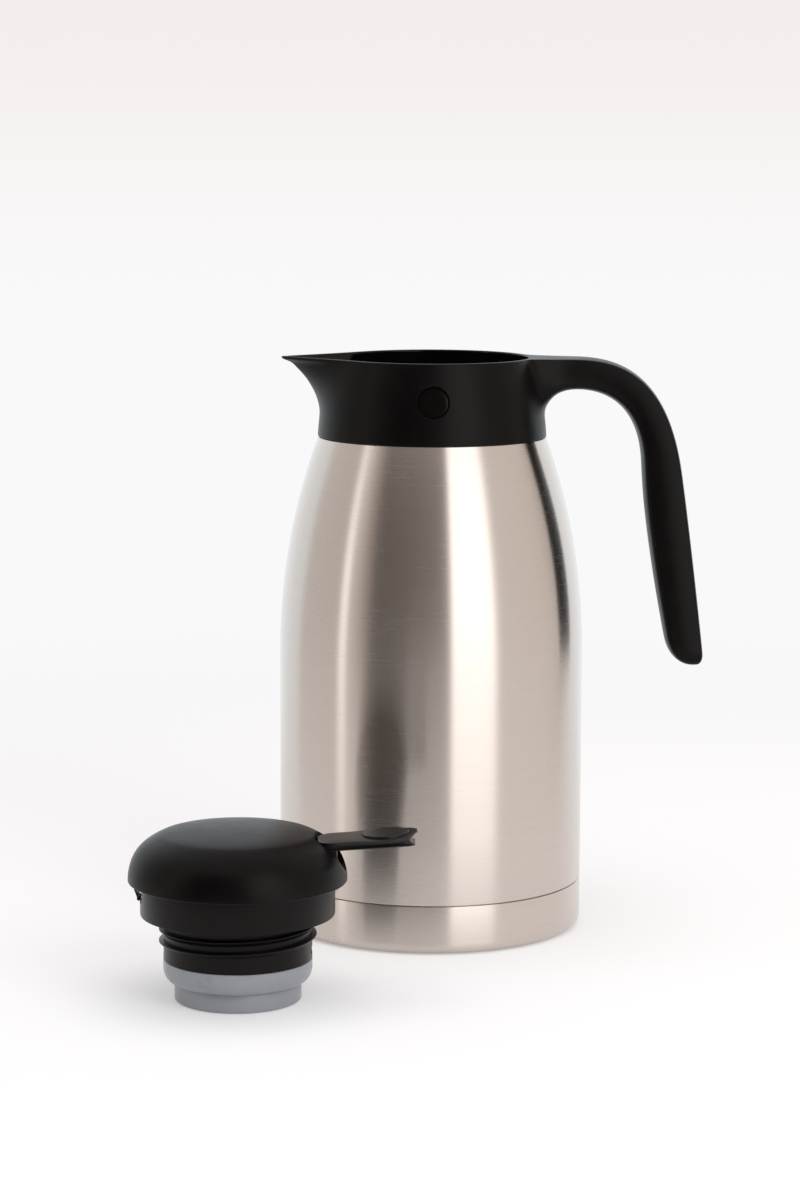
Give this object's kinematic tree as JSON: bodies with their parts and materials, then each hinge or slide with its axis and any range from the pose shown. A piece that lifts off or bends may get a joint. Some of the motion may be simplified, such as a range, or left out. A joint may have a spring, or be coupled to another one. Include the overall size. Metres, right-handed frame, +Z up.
{
  "type": "thermal carafe",
  "caption": "Double-walled steel serving carafe with a pouring collar, an open-ended handle and a screw-in stopper whose thumb lever lifts a valve.",
  "frame": {"origin": "centre of the carafe's base, on the surface that it stands on", "axes": "+Z up along the carafe's axis, -X to the spout, +X to the handle"},
  "size_m": [0.2376, 0.2402, 0.2457],
  "materials": {
    "brushed_steel": "brushed round the body",
    "inner_steel": "electropolished",
    "getter_metal": "dull",
    "matt_black": "fine moulded texture",
    "satin_black": "satin",
    "gloss_black": "polished",
    "inner_plastic": "satin",
    "grey_silicone": "translucent, matt",
    "pin_steel": "ground"
  },
  "bodies": {
    "carafe": {"outer_shell": "brushed_steel", "shell_neck": "inner_steel", "base_cup": "brushed_steel", "vessel_bottom": "inner_steel", "inner_vessel": "inner_steel", "vessel_neck": "inner_steel", "vacuum_bottom": "inner_steel", "vacuum_plug": "getter_metal", "getter": "getter_metal", "collar": "matt_black", "neck_insert": "gloss_black", "neck_gasket": "grey_silicone", "side_plug_front": "gloss_black", "side_plug_back": "gloss_black", "handle": "matt_black", "handle_cover": "matt_black"},
    "stopper": {"stopper_body": "satin_black", "dome_cover": "matt_black", "chamber_cover": "inner_plastic", "gasket_carrier": "inner_plastic", "stopper_gasket": "grey_silicone", "stem_seal": "grey_silicone", "lever_pin": "pin_steel", "valve_spring": "pin_steel"},
    "lever": {"lever": "satin_black", "thumb_pad": "matt_black"},
    "valve": {"valve_stem": "inner_plastic", "valve_disc": "inner_plastic", "valve_seal": "grey_silicone"}
  },
  "joints": [
    {"name": "stopper_lift", "type": "slide", "parent": "carafe", "child": "stopper", "axis": [0, 0, 1], "range_m": [0, 0.25]},
    {"name": "lever_press", "type": "hinge", "parent": "stopper", "child": "lever", "pos_m": [-0.0453, -0.1318, 0.057], "axis": [0, 1, 0], "range_deg": [0, 10]},
    {"name": "valve_lift", "type": "slide", "parent": "stopper", "child": "valve", "axis": [0, 0, 1], "range_m": [0, 0.00558], "stiffness_N_per_m": 5, "springref_m": -0.01, "deforming": ["valve_spring"]}
  ],
  "couplings": [
    {"joint": "lever_press", "follows": "valve_lift", "rad_per_m": 31.25}
  ]
}
